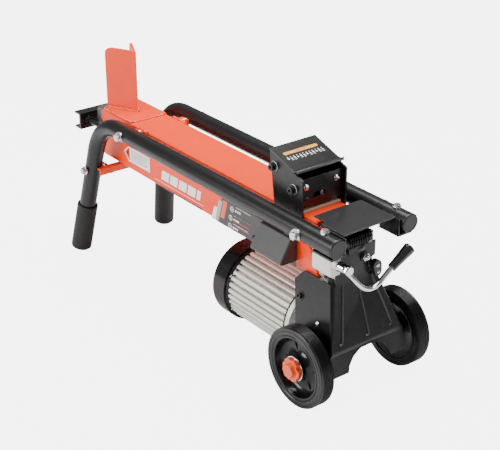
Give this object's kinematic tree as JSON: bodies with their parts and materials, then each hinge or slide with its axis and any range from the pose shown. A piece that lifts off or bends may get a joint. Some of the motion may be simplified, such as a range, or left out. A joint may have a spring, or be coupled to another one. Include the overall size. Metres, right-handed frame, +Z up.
{
  "type": "log splitter",
  "caption": "Horizontal electric hydraulic log splitter: square beam with an upright wedge, sliding pusher on two tie rods, motor and control lever, two tube legs and two wheels.",
  "frame": {"origin": "on the ground, at the middle of the machine's bounding box", "axes": "+X towards the wheels and the control lever, +Z up; the labelled side faces -Y"},
  "size_m": [0.902, 0.292, 0.456],
  "materials": {
    "orange_paint": "satin powder coat",
    "orange_plastic": "gloss",
    "bare_steel": "turned, oiled",
    "cast_aluminium": "as cast",
    "black_paint": "satin powder coat",
    "rubber": "matte",
    "tyre_rubber": "matte",
    "black_plastic": "satin",
    "dark_grey_plastic": "fine texture",
    "green_plastic": "gloss",
    "zinc_steel": "bright zinc",
    "bright_steel": "hard chrome",
    "nylon": "matte"
  },
  "bodies": {
    "frame": {"beam": "orange_paint", "wedge_base_plate": "orange_paint", "splitting_wedge": "orange_paint", "leg_cross_bar": "orange_paint", "hub_cap_near": "orange_plastic", "hub_cap_far": "orange_plastic", "cylinder_tube": "bare_steel", "cylinder_head": "cast_aluminium", "valve_block": "cast_aluminium", "motor_body": "cast_aluminium", "pump_housing": "cast_aluminium", "tube_leg_near": "black_paint", "tube_leg_far": "black_paint", "saddle_bracket_near": "black_paint", "saddle_bracket_far": "black_paint", "cover_plate": "black_paint", "wheel_bracket": "black_paint", "foot_sleeve_near": "rubber", "foot_sleeve_far": "rubber", "tube_cap_near": "black_plastic", "tube_cap_far": "black_plastic", "carry_grip": "black_plastic", "fan_cover": "black_plastic", "cable_inlet": "black_plastic", "switch_box": "dark_grey_plastic", "tube_bolt_wedge_end_near": "zinc_steel", "tube_bolt_wedge_end_far": "zinc_steel", "tube_bolt_wheel_end_near": "zinc_steel", "tube_bolt_wheel_end_far": "zinc_steel", "leg_bolt_near": "zinc_steel", "leg_bolt_far": "zinc_steel", "top_bolt_near": "zinc_steel", "top_bolt_far": "zinc_steel", "dome_nut": "zinc_steel", "axle": "zinc_steel"},
    "pusher": {"pusher_face_plate": "black_paint", "pusher_side_plate_near": "black_paint", "pusher_side_plate_far": "black_paint", "pusher_top_plate": "black_paint", "pusher_back_plate": "black_paint", "pusher_wear_pad": "nylon", "pusher_bolt_front_near": "zinc_steel", "pusher_bolt_front_far": "zinc_steel", "pusher_bolt_rear_near": "zinc_steel", "pusher_bolt_rear_far": "zinc_steel", "tie_rod_near": "black_paint", "tie_rod_far": "black_paint", "crosshead": "black_paint", "piston_rod": "bright_steel"},
    "lever": {"control_lever": "bright_steel", "lever_grip": "black_plastic"},
    "spool": {"valve_spool": "bright_steel"},
    "wheel_near": {"wheel_rim_near": "black_plastic", "tyre_near": "tyre_rubber"},
    "wheel_far": {"wheel_rim_far": "black_plastic", "tyre_far": "tyre_rubber"},
    "rotor": {"motor_rotor": "bare_steel"},
    "driven_gear": {"pump_driven_gear": "bare_steel"},
    "button": {"start_button": "green_plastic"},
    "bleed": {"bleed_screw": "black_plastic"}
  },
  "joints": [
    {"name": "pusher_slide", "type": "slide", "parent": "frame", "child": "pusher", "axis": [-1, 0, 0], "range_m": [0, 0.39]},
    {"name": "wheel_near_spin", "type": "hinge", "parent": "frame", "child": "wheel_near", "pos_m": [0.375, -0.115, 0.076], "axis": [0, 1, 0], "continuous": true},
    {"name": "wheel_far_spin", "type": "hinge", "parent": "frame", "child": "wheel_far", "pos_m": [0.375, 0.115, 0.076], "axis": [0, 1, 0], "continuous": true},
    {"name": "lever_turn", "type": "hinge", "parent": "frame", "child": "lever", "pos_m": [0.395, -0.06, 0.271], "axis": [1, 0, 0], "range_deg": [-28, 0], "stiffness_Nm_per_rad": 3, "springref_deg": 20.05},
    {"name": "spool_shift", "type": "slide", "parent": "frame", "child": "spool", "axis": [0, 1, 0], "range_m": [-0.003, 0]},
    {"name": "rotor_spin", "type": "hinge", "parent": "frame", "child": "rotor", "pos_m": [0.175, 0, 0.09], "axis": [1, 0, 0], "continuous": true},
    {"name": "driven_gear_spin", "type": "hinge", "parent": "frame", "child": "driven_gear", "pos_m": [0.284, 0, 0.118], "axis": [1, 0, 0], "continuous": true},
    {"name": "button_press", "type": "slide", "parent": "frame", "child": "button", "axis": [1, 0, 0], "range_m": [0, 0.003], "stiffness_N_per_m": 300, "springref_m": -0.002},
    {"name": "bleed_screw_turn", "type": "hinge", "parent": "frame", "child": "bleed", "pos_m": [0.385, 0.0405, 0.236], "axis": [1, 0, 0], "range_deg": [0, 540]}
  ],
  "couplings": [
    {"joint": "spool_shift", "follows": "lever_turn", "m_per_rad": 0.006},
    {"joint": "driven_gear_spin", "follows": "rotor_spin", "ratio": -1}
  ]
}
